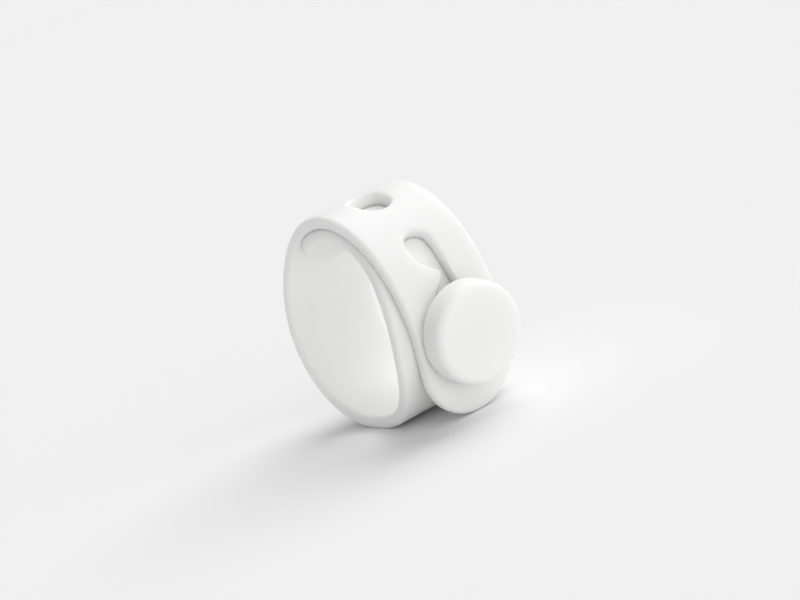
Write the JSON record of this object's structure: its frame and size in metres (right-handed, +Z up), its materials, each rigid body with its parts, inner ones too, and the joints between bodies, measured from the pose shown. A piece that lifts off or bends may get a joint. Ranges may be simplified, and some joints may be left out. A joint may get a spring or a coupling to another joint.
{
  "type": "cable tie",
  "caption": "Soft white moulded cable tie closed in a loop: a flat strap whose keyhole slot is hooked over the neck of a flat round button.",
  "frame": {"origin": "on the floor, under the middle of the closed tie's overall length and width", "axes": "+Z up, +Y along the loop's axis, the way the cables run, +X from the loop towards the button"},
  "size_m": [0.0314, 0.0148, 0.0259],
  "materials": {
    "silicone": "matte"
  },
  "bodies": {
    "root": {"strap": "silicone"}
  },
  "joints": []
}
